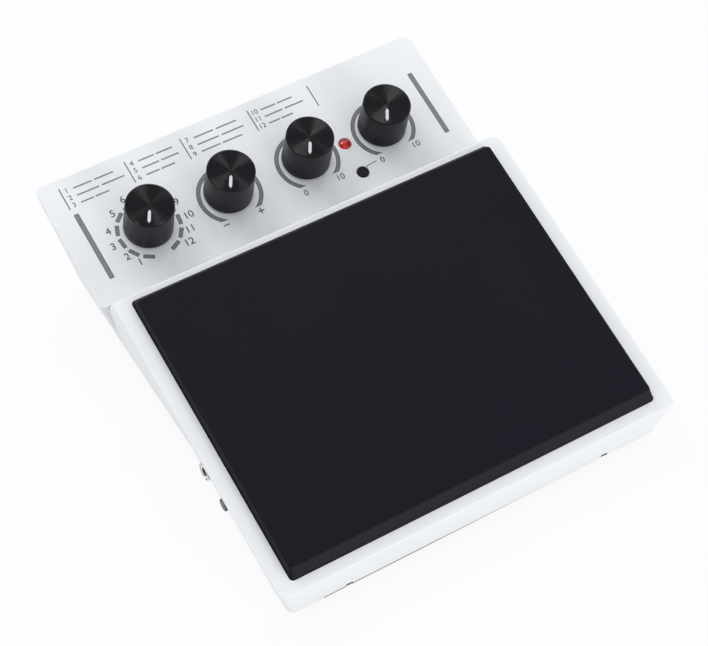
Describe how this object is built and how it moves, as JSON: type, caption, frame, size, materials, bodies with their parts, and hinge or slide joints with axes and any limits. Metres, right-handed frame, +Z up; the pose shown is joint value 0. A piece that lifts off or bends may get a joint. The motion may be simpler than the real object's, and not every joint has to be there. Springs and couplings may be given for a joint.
{
  "type": "electronic percussion pad",
  "caption": "Wedge-shaped desktop percussion pad: one large rubber striking surface on a white case, with rotary dials, a lamp and a push button on the rear panel.",
  "frame": {"origin": "on the table, under the centre of the case", "axes": "+X to the player's right, +Y away from the player towards the rear sockets, +Z up"},
  "size_m": [0.1694, 0.1938, 0.0609],
  "materials": {
    "white_case": "satin",
    "black_plastic": "matte",
    "black_rubber": "matte",
    "foam": "matte",
    "steel": "satin",
    "zinc": "bright",
    "brass": "satin",
    "knob_black": "gloss",
    "pointer_pale": "satin",
    "lamp_red": "gloss",
    "board_green": "satin",
    "grey_plastic": "satin",
    "cell_jacket": "gloss"
  },
  "bodies": {
    "case": {"top_cover": "white_case", "bottom_plate": "black_plastic", "foot_front_left": "black_rubber", "foot_front_right": "black_rubber", "foot_rear_left": "black_rubber", "foot_rear_right": "black_rubber", "case_screws": "steel", "clamp_inserts": "brass", "side_screws": "steel", "pad_rubber": "black_rubber", "pad_plate": "steel", "pad_foam": "foam", "sensor_disc": "brass", "sensor_cushion": "foam", "sensor_lead": "black_plastic", "control_nuts": "zinc", "select_control": "steel", "tune_control": "steel", "effect_control": "steel", "volume_control": "steel", "lamp": "lamp_red", "button_switch": "black_plastic", "panel_board": "board_green", "ribbon_cable": "grey_plastic", "main_board": "board_green", "jack_board": "board_green", "board_screws": "steel", "output_jack_right": "black_plastic", "output_jack_left": "black_plastic", "trigger_jack": "black_plastic", "mix_jack": "black_plastic", "jack_nuts": "zinc", "phones_jack": "black_plastic", "phones_nut": "zinc", "usb_socket": "zinc", "power_inlet": "black_plastic", "power_switch": "steel", "battery_holder": "black_plastic", "battery_contacts": "zinc", "cell_1": "cell_jacket", "cell_2": "cell_jacket", "cell_3": "cell_jacket", "cell_4": "cell_jacket"},
    "select_dial": {"select_knob": "knob_black", "select_shaft": "steel", "select_pointer": "pointer_pale"},
    "tune_dial": {"tune_knob": "knob_black", "tune_shaft": "steel", "tune_pointer": "pointer_pale"},
    "effect_dial": {"effect_knob": "knob_black", "effect_shaft": "steel", "effect_pointer": "pointer_pale"},
    "volume_dial": {"volume_knob": "knob_black", "volume_shaft": "steel", "volume_pointer": "pointer_pale"},
    "button": {"select_button": "black_plastic", "switch_plunger": "black_plastic"},
    "slider": {"power_slider": "black_plastic"},
    "door": {"battery_door": "black_plastic"}
  },
  "joints": [
    {"name": "select_turn", "type": "hinge", "parent": "case", "child": "select_dial", "pos_m": [-0.0525, 0.06336, 0.04297], "axis": [0, 0.2419, -0.9703], "range_deg": [0, 300]},
    {"name": "tune_turn", "type": "hinge", "parent": "case", "child": "tune_dial", "pos_m": [-0.0175, 0.06336, 0.04297], "axis": [0, 0.2419, -0.9703], "range_deg": [0, 300]},
    {"name": "effect_turn", "type": "hinge", "parent": "case", "child": "effect_dial", "pos_m": [0.0175, 0.06336, 0.04297], "axis": [0, 0.2419, -0.9703], "range_deg": [0, 300]},
    {"name": "volume_turn", "type": "hinge", "parent": "case", "child": "volume_dial", "pos_m": [0.0525, 0.06336, 0.04297], "axis": [0, 0.2419, -0.9703], "range_deg": [0, 300]},
    {"name": "button_press", "type": "slide", "parent": "case", "child": "button", "axis": [0, 0.2419, -0.9703], "range_m": [0, 0.0005], "stiffness_N_per_m": 600, "springref_m": -0.0005},
    {"name": "power_slide", "type": "slide", "parent": "case", "child": "slider", "axis": [1, 0, 0], "range_m": [0, 0.004]},
    {"name": "door_slide", "type": "slide", "parent": "case", "child": "door", "axis": [0, 1, 0], "range_m": [0, 0.007]}
  ]
}
